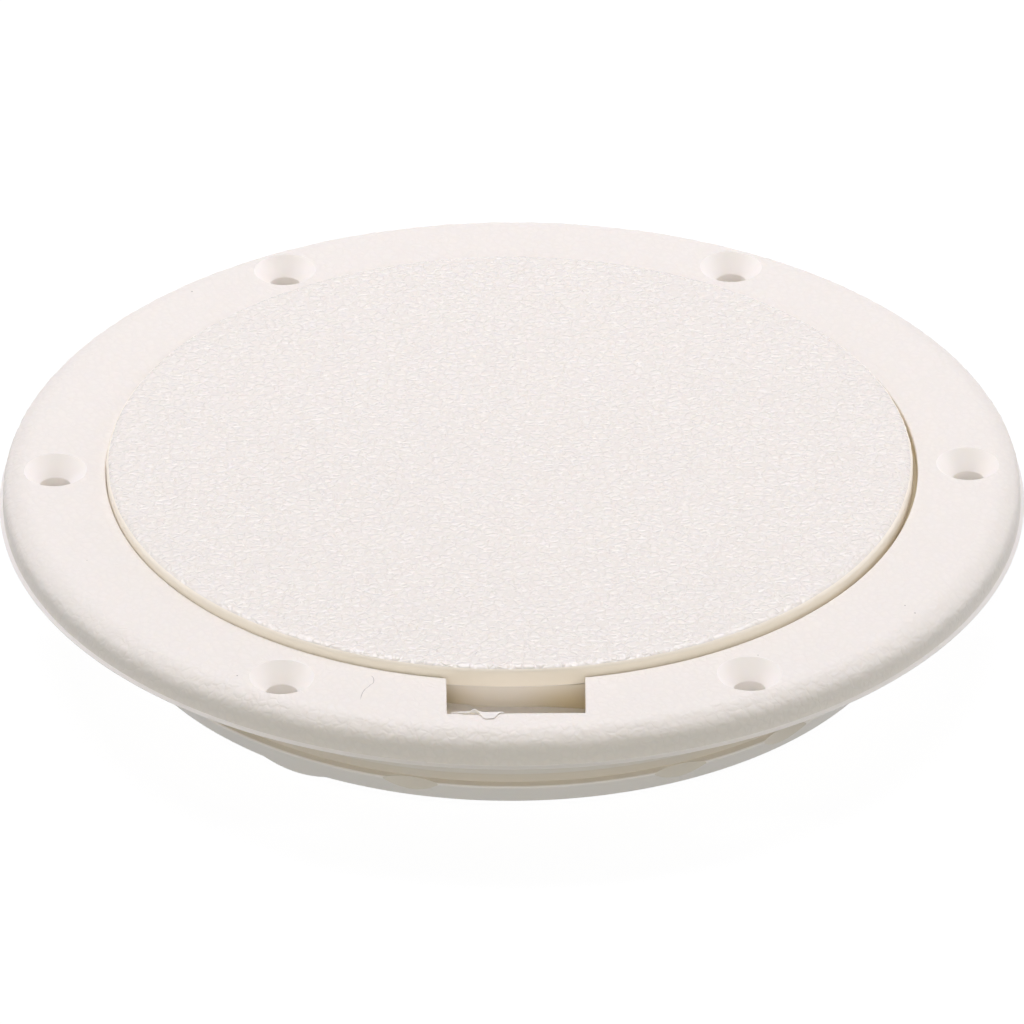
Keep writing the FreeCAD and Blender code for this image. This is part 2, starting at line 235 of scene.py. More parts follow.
@dataclass
class Surface:
    """A mesh as arrays, before it becomes an object.

    Attributes:
        points: vertices in millimetres.
        faces: lists of vertex numbers.
        kinds: skin of each face.
    """

    points: np.ndarray
    faces: list[list[int]]
    kinds: np.ndarray

    def as_object(self, name: str, materials: list[Material]) -> Object:
        """Make the mesh object in metres, at the origin.

        Args:
            name: name of the object and its mesh.
            materials: one for each skin, in the order of Face.

        Returns:
            The object, linked to the scene.
        """
        mesh = bpy.data.meshes.new(name)
        mesh.from_pydata((self.points * MM).tolist(), [], self.faces)
        for material in materials:
            mesh.materials.append(material)
        mesh.polygons.foreach_set("material_index", self.kinds.astype(np.int32))
        mesh.validate()
        return new_object(name, mesh)


def turned_points(section: Section, angles: np.ndarray, centre: np.ndarray) -> np.ndarray:
    """Carry a section round its axis and press its grain in.

    A point is (radius cos a, radius sin a, height), moved inwards along the section's normal by
    the grain depth times a mix of a fine and a coarse smooth noise at that point.

    Args:
        section: the section to carry round.
        angles: angle of each copy, in radians.
        centre: where the axis stands in the plane, in millimetres.

    Returns:
        Vertices as an array of section points by angles by 3.
    """
    radius, height = section.points[:, 0], section.points[:, 1]
    run = np.roll(section.points, -1, axis=0) - np.roll(section.points, 1, axis=0)
    run = run / np.maximum(np.linalg.norm(run, axis=1, keepdims=True), 1e-9)
    flat = np.stack([np.outer(radius, np.cos(angles)), np.outer(radius, np.sin(angles))], axis=-1)
    points = np.concatenate([flat, np.broadcast_to(height[:, None, None], flat.shape[:2] + (1,))], -1)
    outward = np.stack([np.outer(-run[:, 1], np.cos(angles)), np.outer(-run[:, 1], np.sin(angles)),
                        np.broadcast_to(run[:, :1], flat.shape[:2])], axis=-1)
    rough = section.relief > 0.0
    if rough.any():
        skin = points[rough].reshape(-1, 3)
        fine, coarse = lattice_noise(skin, 0.75), lattice_noise(skin + 40.0, 1.7)
        depth = (0.65 * fine + 0.35 * coarse).reshape(-1, len(angles)) * section.relief[rough][:, None]
        points[rough] -= outward[rough] * depth[..., None]
    points[..., :2] += centre
    return points


def turned_ring(section: Section, segments: int, centre: np.ndarray) -> Surface:
    """A closed section carried round its axis.

    Args:
        section: the closed section.
        segments: number of steps round.
        centre: where the axis stands, in millimetres.

    Returns:
        The closed surface.
    """
    angles = np.arange(segments) * 2 * math.pi / segments
    points = turned_points(section, angles, centre)
    faces = grid_quads(len(section.points), segments, wrap_rows=True)
    return Surface(points.reshape(-1, 3), faces.tolist(), np.repeat(section.faces, segments))


def turned_disc(section: Section, segments: int, centre: np.ndarray, start: float = 0.0) -> Surface:
    """A section that starts and ends on its axis, carried round it.

    Args:
        section: the section, whose first and last points lie on the axis.
        segments: number of steps round.
        centre: where the axis stands, in millimetres.
        start: angle of the first copy, in radians.

    Returns:
        The closed surface, with one vertex at each pole.
    """
    angles = start + np.arange(segments) * 2 * math.pi / segments
    inner = Section(section.points[1:-1], section.faces[1:-1], section.relief[1:-1])
    rows = len(inner.points)
    points = turned_points(inner, angles, centre).reshape(-1, 3)
    poles = np.array([[*centre, section.points[0, 1]], [*centre, section.points[-1, 1]]])
    quads = grid_quads(rows, segments, wrap_rows=False)
    step = np.arange(segments)
    after = (step + 1) % segments
    bottom = (rows - 1) * segments
    first_fan = np.stack([np.full(segments, rows * segments), step, after], axis=1)
    last_fan = np.stack([bottom + step, np.full(segments, rows * segments + 1), bottom + after], axis=1)
    kinds = np.concatenate([np.repeat(inner.faces[:-1], segments),
                            np.full(segments, section.faces[0]), np.full(segments, inner.faces[-1])])
    faces = quads.tolist() + first_fan.tolist() + last_fan.tolist()
    return Surface(np.concatenate([points, poles]), faces, kinds)


def put_in(piece: Object, tool: Object, solver: Solver) -> None:
    """Cut a tool shape out of a piece or join it on, and delete the tool.

    Args:
        piece: the moulding that changes.
        tool: the closed shape.
        solver: whether the shape is cut out or joined on.
    """
    step = piece.modifiers.new(solver.name.lower(), "BOOLEAN")
    step.operation = solver.value
    step.solver = "EXACT"
    step.object = tool
    bpy.context.view_layer.update()
    graph = bpy.context.evaluated_depsgraph_get()
    shaped = bpy.data.meshes.new_from_object(piece.evaluated_get(graph))
    piece.modifiers.clear()
    old = piece.data
    piece.data = shaped
    bpy.data.meshes.remove(old)
    bpy.data.meshes.remove(tool.data)


def smooth_finish(piece: Object) -> None:
    """Shade a piece smooth, but keep edges that bend more than CREASE and flat faces as they are.

    Args:
        piece: the piece to finish.
    """
    piece.data.shade_smooth()
    piece.data.set_sharp_from_angle(angle=math.radians(CREASE))
    weigh = piece.modifiers.new("flat_faces", "WEIGHTED_NORMAL")
    weigh.keep_sharp = True
    weigh.weight = 90


class NodeSheet:
    """Short ways to place and join the nodes of one material or group."""

    def __init__(self, tree: NodeTree) -> None:
        """Keep the node tree to work on."""
        self.tree = tree

    def fill(self, node: Node, inputs: dict) -> Node:
        """Set the inputs of a node.

        Args:
            node: the node.
            inputs: socket name or number to a value, or to a socket that is joined to it.

        Returns:
            The same node.
        """
        for key, value in inputs.items():
            if isinstance(value, NodeSocket):
                self.tree.links.new(value, node.inputs[key])
            else:
                node.inputs[key].default_value = value
        return node

    def add(self, kind: str, inputs: dict | None = None, **settings) -> Node:
        """Place a node.

        Args:
            kind: the node's type.
            inputs: what fill sets.
            settings: attributes of the node.

        Returns:
            The node.
        """
        node = self.tree.nodes.new(kind)
        for name, value in settings.items():
            setattr(node, name, value)
        return self.fill(node, inputs or {})

    def math(self, operation: str, *values) -> NodeSocket:
        """One Math node's result for up to three values or sockets."""
        return self.add("ShaderNodeMath", dict(enumerate(values)), operation=operation).outputs[0]

    def product(self, *values) -> NodeSocket:
        """The product of two or more values or sockets."""
        return reduce(partial(self.math, "MULTIPLY"), values)

    def vector_math(self, operation: str, *values) -> NodeSocket:
        """One Vector Math node's first result for its vectors."""
        node = self.add("ShaderNodeVectorMath", dict(enumerate(values)), operation=operation)
        return node.outputs["Value" if operation in ("LENGTH", "DISTANCE") else "Vector"]

    def scaled(self, vector, factor: NodeSocket) -> NodeSocket:
        """A vector, or a socket that gives one, times a factor."""
        return self.add("ShaderNodeVectorMath", {0: vector, "Scale": factor}, operation="SCALE").outputs[0]

    def ramp(self, value, low: float, high: float, to_low: float, to_high: float) -> NodeSocket:
        """A smooth step from to_low at low to to_high at high."""
        ends = {"Value": value, "From Min": low, "From Max": high, "To Min": to_low, "To Max": to_high}
        return self.add("ShaderNodeMapRange", ends, interpolation_type="SMOOTHSTEP").outputs["Result"]

    def noise(self, place: NodeSocket, scale: float, detail: float = 2.0) -> Node:
        """A Noise Texture node."""
        return self.add("ShaderNodeTexNoise", {"Vector": place, "Scale": scale, "Detail": detail})

    def blend(self, factor: NodeSocket, first, second) -> NodeSocket:
        """A mix of two colours, or of sockets that give them."""
        ends = {"Factor": factor, "A": first, "B": second}
        return self.add("ShaderNodeMix", ends, data_type="RGBA").outputs["Result"]

    def bump(self, height: NodeSocket, depth: float) -> NodeSocket:
        """The normal of a skin that is pressed in by a height of 0 to 1 times a depth in metres."""
        inputs = {"Strength": 1.0, "Distance": depth, "Height": height}
        return self.add("ShaderNodeBump", inputs).outputs["Normal"]

    def split(self, place: NodeSocket) -> tuple[NodeSocket, NodeSocket, NodeSocket, NodeSocket]:
        """A place's X, Y and Z, and the place with no Z."""
        x, y, z = self.add("ShaderNodeSeparateXYZ", {0: place}).outputs
        return x, y, z, self.add("ShaderNodeCombineXYZ", {0: x, 1: y}).outputs[0]

    def group(self, tree: NodeTree, **inputs) -> Node:
        """Place a group and set or join its inputs."""
        return self.add("ShaderNodeGroup", inputs, node_tree=tree)


def new_material(name: str) -> tuple[Material, NodeSheet, Node]:
    """Make a material, and give it with its sheet and its shader."""
    material = bpy.data.materials.new(name)
    material.use_nodes = True
    return material, NodeSheet(material.node_tree), material.node_tree.nodes["Principled BSDF"]


def new_group(name: str, inputs: dict[str, str], outputs: dict[str, str]) -> tuple[NodeSheet, Node, Node]:
    """Make an empty shader node group with named sockets.

    Args:
        name: the group's name.
        inputs: socket name to socket type.
        outputs: socket name to socket type.

    Returns:
        The group's sheet, its input node and its output node.
    """
    tree = bpy.data.node_groups.new(name, "ShaderNodeTree")
    for way, sockets in (("INPUT", inputs), ("OUTPUT", outputs)):
        for label, kind in sockets.items():
            tree.interface.new_socket(label, in_out=way, socket_type=kind)
    sheet = NodeSheet(tree)
    return sheet, sheet.add("NodeGroupInput"), sheet.add("NodeGroupOutput")


@dataclass(frozen=True)
class PebbleGrain:
    """The leather-like pebble grain of the mould's skin: cells with flat tops and sloping borders.

    Attributes:
        bend: how far a slow noise bends the cells, in cells.
        border: width of the slope at a cell's border, in cells.
        fine: height of the fine bumps, as a share of a cell's height.
    """

    bend: float = 0.9
    border: float = 0.27
    fine: float = 0.4

    def group(self) -> NodeTree:
        """The grain as a shared group that puts out its height and a mask of its valleys."""
        sheet, given, made = new_group(
            "pebble_grain", {"Position": VECTOR, "Cell": FLOAT}, {"Height": FLOAT, "Valley": FLOAT})
        place = sheet.scaled(given.outputs["Position"], sheet.math("DIVIDE", 1.0, given.outputs["Cell"]))
        drift = sheet.noise(place, 0.9, 1.0).outputs["Color"]
        shift = sheet.vector_math("SUBTRACT", drift, (0.5, 0.5, 0.5))
        bent = sheet.vector_math("MULTIPLY_ADD", shift, (self.bend,) * 3, place)
        cells = sheet.add("ShaderNodeTexVoronoi", {"Vector": bent, "Scale": 1.0}, feature="DISTANCE_TO_EDGE")
        dome = sheet.ramp(cells.outputs["Distance"], 0.0, self.border, 0.0, 1.0)
        fine = sheet.noise(place, 2.2).outputs["Fac"]
        sheet.fill(made, {"Height": sheet.math("MULTIPLY_ADD", fine, self.fine, dome),
                          "Valley": sheet.math("SUBTRACT", 1.0, dome)})
        return sheet.tree


@dataclass(frozen=True)
class RecessPaintedShade:
    """A warm painted shade in the lid's recess, the pry slot and the collar's groove, in millimetres.

    Attributes:
        recess_radius: the painted shade on the recess ledge lies inside this radius.
        ledge_low, ledge_high: heights between which that shade fades out.
        ledge_full: how far to the right it is at its darkest.
        shade_top: height at which the painted shade in the slot is lightest.
        shade_full: height below which it is at its darkest.
        slot_half: half the slot's width.
        slot_back, slot_front: the painted shade in the slot lies between these places along Y.
        slot_middle: place across the slot where the shade is lightest.
        slot_clear: how far from slot_middle it starts to darken.
        slot_full: how far from slot_middle it is at its darkest.
        groove_top: the painted shade on the collar lies below this height.
        bore_wall: the bore's wall, inside this radius, stays clean.
        groove_shade: how dark the painted shade is there, from 0 to 1.
    """

    recess_radius: float = 57.4
    ledge_low: float = 3.4
    ledge_high: float = 4.6
    ledge_full: float = 45.0
    shade_top: float = 5.0
    shade_full: float = 0.7
    slot_half: float = 9.6
    slot_back: float = -55.5
    slot_front: float = -58.6
    slot_middle: float = -2.5
    slot_clear: float = 1.0
    slot_full: float = 11.0
    groove_top: float = -9.35
    bore_wall: float = 54.5
    groove_shade: float = 0.2

    def group(self) -> NodeTree:
        """The painted shade as a shared group that puts out one mask."""
        sheet, given, made = new_group("recess_painted_shade", {"Position": VECTOR}, {"Mask": FLOAT})
        x, y, z, flat = sheet.split(given.outputs["Position"])
        radius = sheet.vector_math("LENGTH", flat)
        slot = sheet.product(sheet.math("LESS_THAN", sheet.math("ABSOLUTE", x), self.slot_half * MM),
                             sheet.math("LESS_THAN", y, self.slot_back * MM),
                             sheet.math("GREATER_THAN", y, self.slot_front * MM))
        aside = sheet.math("ABSOLUTE", sheet.math("SUBTRACT", x, self.slot_middle * MM))
        # Painted shade in the slot: darker lower down and away from slot_middle, most to the right.
        in_slot = sheet.product(
            slot, sheet.ramp(z, self.shade_full * MM, self.shade_top * MM, 1.0, 0.2),
            sheet.ramp(aside, self.slot_clear * MM, self.slot_full * MM, 0.3, 1.0))
        # Painted shade on the recess ledge, darker towards +X.
        on_ledge = sheet.product(
            sheet.math("SUBTRACT", 1.0, slot), sheet.ramp(x, 0.0, self.ledge_full * MM, 0.1, 1.0),
            sheet.math("LESS_THAN", radius, self.recess_radius * MM),
            sheet.ramp(z, self.ledge_low * MM, self.ledge_high * MM, 1.0, 0.3))
        above = sheet.product(sheet.math("ADD", in_slot, on_ledge), sheet.math("GREATER_THAN", z, 0.0))
        # Painted shade in the collar's groove and the bead's bites.
        in_groove = sheet.product(sheet.math("LESS_THAN", z, self.groove_top * MM),
                                  sheet.math("GREATER_THAN", radius, self.bore_wall * MM), self.groove_shade)
        sheet.fill(made, {"Mask": sheet.math("ADD", above, in_groove)})
        return sheet.tree


@dataclass(frozen=True)
class ToneDrift:
    """A slow, faint change of tone over a moulding: two noises, each worth about a hundredth."""

    scales: tuple[float, float] = (28.0, 160.0)

    def group(self) -> NodeTree:
        """The drift as a shared group that puts out a factor near 1."""
        sheet, given, made = new_group("tone_drift", {"Position": VECTOR, "Amount": FLOAT}, {"Factor": FLOAT})
        noises = [sheet.noise(given.outputs["Position"], scale).outputs["Fac"] for scale in self.scales]
        around = sheet.math("SUBTRACT", sheet.math("ADD", *noises), 1.0)
        sheet.fill(made, {"Factor": sheet.math("MULTIPLY_ADD", around, given.outputs["Amount"], 1.0)})
        return sheet.tree


@dataclass(frozen=True)
class Speck:
    """A dark speck of dirt in the skin: its place on the deck ring and its size, in millimetres."""

    x: float
    y: float
    size: float


@dataclass(frozen=True)
class SkinMarks:
    """The few marks on the ring's face: one fine curved scratch and some dark specks.

    Attributes:
        scratch_top: where the scratch starts, x and y in millimetres.
        scratch_length: how far it runs towards -Y.
        scratch_bends: sideways place at equal steps along it, in millimetres from its start.
        scratch_width: its width.
        scratch_ink, speck_ink: how strongly the two show, from 0 to 1.
        lowest: marks lie only above this height.
        specks: the specks.
    """

    scratch_top: tuple[float, float] = (-20.0, -55.4)
    scratch_length: float = 6.5
    scratch_bends: tuple[float, ...] = (0.0, 0.55, 0.0, -0.8, -1.15, -1.3)
    scratch_width: float = 0.07
    scratch_ink: float = 0.55
    speck_ink: float = 0.8
    lowest: float = 3.0
    specks: tuple[Speck, ...] = (
        Speck(-38.17, -55.16, 0.16), Speck(-45.35, 49.49, 0.16), Speck(33.35, -50.82, 0.12),
        Speck(53.98, -37.95, 0.14), Speck(55.3, -39.82, 0.16), Speck(-59.24, -24.48, 0.1))

    def group(self) -> NodeTree:
        """The marks as a shared group that puts out one mask."""
        sheet, given, made = new_group("skin_marks", {"Position": VECTOR}, {"Mask": FLOAT})
        x, y, z, flat = sheet.split(given.outputs["Position"])
        down = sheet.math("SUBTRACT", self.scratch_top[1] * MM, y)
        along = sheet.math("DIVIDE", down, self.scratch_length * MM)
        curve = sheet.add("ShaderNodeFloatCurve", {"Value": along})
        line = curve.mapping.curves[0]
        low, last = min(self.scratch_bends), len(self.scratch_bends) - 1
        span = max(self.scratch_bends) - low
        for i, bend in enumerate(self.scratch_bends):
            place = (i / last, (bend - low) / span)
            if i in (0, last):
                line.points[0 if i == 0 else -1].location = place
            else:
                line.points.new(*place)
        curve.mapping.update()
        centre = sheet.math("MULTIPLY_ADD", curve.outputs[0], span * MM, (self.scratch_top[0] + low) * MM)
        off = sheet.math("ABSOLUTE", sheet.math("SUBTRACT", x, centre))
        mask = sheet.product(sheet.ramp(off, self.scratch_width * MM * 0.4, self.scratch_width * MM, 1.0, 0.0),
                             sheet.ramp(along, 0.0, 0.04, 0.0, 1.0), sheet.ramp(along, 0.8, 1.0, 1.0, 0.0),
                             self.scratch_ink)
        for speck in self.specks:
            away = sheet.vector_math("DISTANCE", flat, (speck.x * MM, speck.y * MM, 0.0))
            spot = sheet.ramp(away, speck.size * MM * 0.3, speck.size * MM, self.speck_ink, 0.0)
            mask = sheet.math("MAXIMUM", mask, spot)
        sheet.fill(made, {"Mask": sheet.product(mask, sheet.math("GREATER_THAN", z, self.lowest * MM))})
        return sheet.tree


@dataclass(frozen=True)
class PlasticFinish:
    """Off-white moulded plastic, grained or smooth.

    Attributes:
        name: the material's name.
        colour: base colour, linear.
        mark_and_shade_colour: colour of scratches and specks, and of painted shade where that group is given,
            linear.
        cell: width of a grain cell, in millimetres.
        grain_height: depth of the grain, in millimetres; 0 leaves the skin smooth.
        smooth_height: depth of the fine bumps of a smooth skin, in millimetres.
        valley_painted_shade: painted shade in the grain's valleys, how much darker they are.
        roughness, rough_spread: mean roughness of the skin, and how far it varies.
        drift: how much the tone drifts.
        scatter: share of the light that goes into the plastic and comes out a little way off.
        scatter_length: how far it goes, in millimetres.
    """

    name: str
    colour: tuple[float, float, float] = (0.87, 0.82, 0.745)
    mark_and_shade_colour: tuple[float, float, float] = (0.22, 0.19, 0.16)
    cell: float = 1.25
    grain_height: float = 0.0
    smooth_height: float = 0.004
    valley_painted_shade: float = 0.02
    roughness: float = 0.45
    rough_spread: float = 0.12
    drift: float = 0.02
    scatter: float = 0.12
    scatter_length: float = 1.2

    def build(self, grain: NodeTree, tone: NodeTree, marks: NodeTree | None = None) -> Material:
        """Make the material.

        Args:
            grain: the shared grain group.
            tone: the shared tone group.
            marks: the shared group of marks, or the shared group of painted shade, or None on a clean piece.

        Returns:
            The material.
        """
        material, sheet, shader = new_material(self.name)
        place = sheet.add("ShaderNodeTexCoord").outputs["Object"]
        factor = sheet.group(tone, Position=place, Amount=self.drift).outputs["Factor"]
        fine = sheet.noise(place, 900.0).outputs["Fac"]
        height, depth = fine, self.smooth_height
        if self.grain_height > 0.0:
            pebbles = sheet.group(grain, Position=place, Cell=self.cell * MM)
            # Painted shade: the grain's valleys are darkened in the colour.
            shade = sheet.math("MULTIPLY_ADD", pebbles.outputs["Valley"], -self.valley_painted_shade, 1.0)
            factor = sheet.product(factor, shade)
            height, depth = pebbles.outputs["Height"], self.grain_height
        colour = sheet.scaled(self.colour, factor)
        if marks is not None:
            # Mix in the marks, or the painted shade, by their mask.
            mask = sheet.group(marks, Position=place).outputs["Mask"]
            colour = sheet.blend(mask, colour, (*self.mark_and_shade_colour, 1.0))
        rough = sheet.math("MULTIPLY_ADD", fine, self.rough_spread, self.roughness - self.rough_spread / 2)
        sheet.fill(shader, {
            "Base Color": colour, "Roughness": rough, "Normal": sheet.bump(height, depth * MM), "IOR": 1.49,
            "Subsurface Weight": self.scatter, "Subsurface Radius": (1.0, 0.75, 0.45),
            "Subsurface Scale": self.scatter_length * MM})
        return material


@dataclass(frozen=True)
class RubberFinish:
    """Black seal rubber: satin, with a faint dusty bloom."""

    name: str = "seal_rubber_skin"
    colour: tuple[float, float, float] = (0.028, 0.028, 0.031)
    bloom: tuple[float, float, float] = (0.075, 0.075, 0.078)
    bump_height: float = 0.01

    def build(self) -> Material:
        """Make the material: the bloom lies in slow patches and the skin has very fine bumps."""
        material, sheet, shader = new_material(self.name)
        place = sheet.add("ShaderNodeTexCoord").outputs["Object"]
        patch = sheet.noise(place, 120.0, 4.0).outputs["Fac"]
        amount = sheet.ramp(patch, 0.42, 0.7, 0.0, 0.6)
        fine = sheet.noise(place, 2200.0).outputs["Fac"]
        sheet.fill(shader, {
            "Base Color": sheet.blend(amount, (*self.colour, 1.0), (*self.bloom, 1.0)),
            "Roughness": sheet.math("MULTIPLY_ADD", fine, 0.15, 0.48),
            "Normal": sheet.bump(fine, self.bump_height * MM)})
        return material


@dataclass
class DeckRing:
    """The deck ring: flange with countersinks, lid seat, pry slot and grooved collar, one moulding.

    Sizes are in millimetres. The flange's radius and thickness are read from the frame. The
    flange's outer round is two arcs with the corners edge_in and edge_down from the side's top.
    """

    flange_radius: float
    flange_top: float
    foot_tip: float
    materials: list[Material]
    segments: int = 1080
    edge_relief: float = 0.15
    edge_in: float = 2.64
    edge_down: float = 1.76
    edge_rounds: tuple[float, float] = (5.2, 2.3)
    side_rows: tuple[float, float] = (1.5, 1.0)
    lip_height: float = 0.3
    lip_foot: float = 0.08
    lip_ledge: float = 0.5
    recess_radius: float = 56.99
    recess_depth: float = 1.4
    bore_radius: float = 54.0
    collar_radius: float = 58.5
    groove_radius: float = 57.0
    groove_top: float = -9.3
    groove_bottom: float = -11.4
    foot_radius: float = 56.3
    foot_height: float = -15.05
    lug_width: float = 10.3
    lug_turn: float = -33.0
    bite_radius: float = 9.0
    bite_depth: float = 1.2
    bite_turns: tuple[float, ...] = (-14.5, 23.0, 40.0)
    rounds: int = 2
    screw_circle: float = 64.15
    screw_count: int = 6
    screw_radius: float = 2.2
    sink_radius: float = 4.5
    sink_half_angle: float = 41.0
    mouth_round: float = 0.4

    def section(self) -> Section:
        """The ring's section, from the recess's upper edge outwards and back up the bore."""
        top, out = self.flange_top, self.flange_radius
        side = out - self.lip_ledge
        seat = top - self.recess_depth
        relief = self.edge_relief
        return rounded_section([
            Corner(self.recess_radius, top, 0.22, 4, Face.GRAINED),
            Corner(side - self.edge_in, top, self.edge_rounds[0], 9, Face.GRAINED, relief),
            Corner(side, top - self.edge_down, self.edge_rounds[1], 10, Face.GRAINED, relief),
            *[Corner(side, row, 0.0, 3, Face.GRAINED, relief) for row in self.side_rows],
            # The lip's lighter skin is painted light along the flange's lower edge.
            Corner(side, self.lip_height, 0.06, 2, Face.PAINTED_LIGHT),
            Corner(out, self.lip_foot, 0.05, 2, Face.PAINTED_LIGHT),
            Corner(out, 0.0, 0.02, 2, Face.SMOOTH),
            Corner(out - 0.4, 0.0),
            Corner(self.collar_radius, 0.0, 0.4, 4),
            Corner(self.collar_radius, self.groove_top, 0.15),
            Corner(self.groove_radius, self.groove_top, 0.25),
            Corner(self.groove_radius, self.groove_bottom, 0.06),
            # The bead's ridge and foot take the lighter skin: painted light along the collar's lower edges.
            Corner(self.collar_radius, self.groove_bottom, 0.22, 5, Face.PAINTED_LIGHT),
            Corner(self.collar_radius - 0.27, self.groove_bottom - 0.43, face=Face.PAINTED_LIGHT),
            Corner(self.foot_radius, self.foot_height, 0.55, 5, Face.PAINTED_LIGHT),
            Corner(self.bore_radius, self.foot_height, 0.4, 4),
            Corner(self.bore_radius, seat, 0.25, 3),
            Corner(self.recess_radius, seat, 0.25, 3),
        ], closed=True)

    def add_lugs(self, surface: Surface) -> None:
        """Press the foot lugs out of the collar's foot.

        A foot point sinks by the lug's drop times one minus the square of its share of the lug's
        half width, which is the round bottom of a lug.

        Args:
            surface: the turned ring, changed in place.
        """
        points = surface.points
        bearing = np.degrees(np.arctan2(points[:, 0], -points[:, 1]))
        drop = self.foot_height - self.foot_tip
        half_turn = math.degrees(math.asin(self.lug_width / 2 / self.foot_radius))
        centres = [self.lug_turn + i * 360.0 / self.rounds for i in range(self.rounds)]
        away = np.abs((bearing[:, None] - np.array(centres)[None, :] + 180.0) % 360.0 - 180.0)
        share = np.clip(away.min(axis=1) / half_turn, 0.0, 1.0)
        low = np.clip((self.foot_height + 0.5 - points[:, 2]) / 0.5, 0.0, 1.0)
        points[:, 2] -= drop * (1.0 - share ** 2) * low

    def bead_bite(self, angle: float) -> Object:
        """The shape of one round bite in the bead, an upright cylinder with a soft upper rim.

        Args:
            angle: bearing of the bite from -Y towards +X, in degrees.

        Returns:
            The closed tool shape.
        """
        section = rounded_section([
            Corner(0.0, self.groove_bottom + 0.8), Corner(self.bite_radius, self.groove_bottom + 0.8),
            Corner(self.bite_radius, self.foot_height - 1.0), Corner(0.0, self.foot_height - 1.0),
        ], closed=False)
        turn = math.radians(angle)
        reach = self.collar_radius - self.bite_depth + self.bite_radius
        centre = reach * np.array([math.sin(turn), -math.cos(turn)])
        tool = turned_disc(section.dressed(Face.SMOOTH), 240, centre, TOOL_TURN)
        return tool.as_object("bead_bite_tool", self.materials)

    def screw_sink(self, angle: float) -> Object:
        """The shape of one countersunk hole, with a softly rounded mouth.

        Args:
            angle: bearing of the hole from +X, in degrees.

        Returns:
            The closed tool shape.
        """
        top = self.flange_top
        cone = (self.sink_radius - self.screw_radius) / math.tan(math.radians(self.sink_half_angle))
        lift = self.mouth_round * 0.04
        flare = self.sink_radius + self.mouth_round * 1.6
        section = rounded_section([
            Corner(0.0, top + 1.0), Corner(flare, top + 1.0), Corner(flare, top + lift),
            Corner(self.sink_radius, top + lift, self.mouth_round, 5),
            Corner(self.screw_radius, top - cone, 0.15, 3), Corner(self.screw_radius, -1.0), Corner(0.0, -1.0),
        ], closed=False)
        turn = math.radians(angle)
        centre = self.screw_circle * np.array([math.cos(turn), math.sin(turn)])
        # The countersinks take the lighter skin: painted light in the holes.
        tool = turned_disc(section.dressed(Face.PAINTED_LIGHT), 96, centre, TOOL_TURN)
        return tool.as_object("screw_sink_tool", self.materials)

    def build(self) -> Object:
        """Make the dressed ring."""
        surface = turned_ring(self.section(), self.segments, np.zeros(2))
        self.add_lugs(surface)
        ring = surface.as_object("ring_moulding", self.materials)
        for i in range(self.screw_count):
            put_in(ring, self.screw_sink(i * 360.0 / self.screw_count), Solver.CUT)
        for i in range(self.rounds):
            for turn in self.bite_turns:
                put_in(ring, self.bead_bite(turn + i * 360.0 / self.rounds), Solver.CUT)
        put_in(ring, PrySlot(self).as_object(), Solver.CUT)
        put_in(ring, SlotFlash(self).as_object(), Solver.JOIN)
        smooth_finish(ring)
        return ring


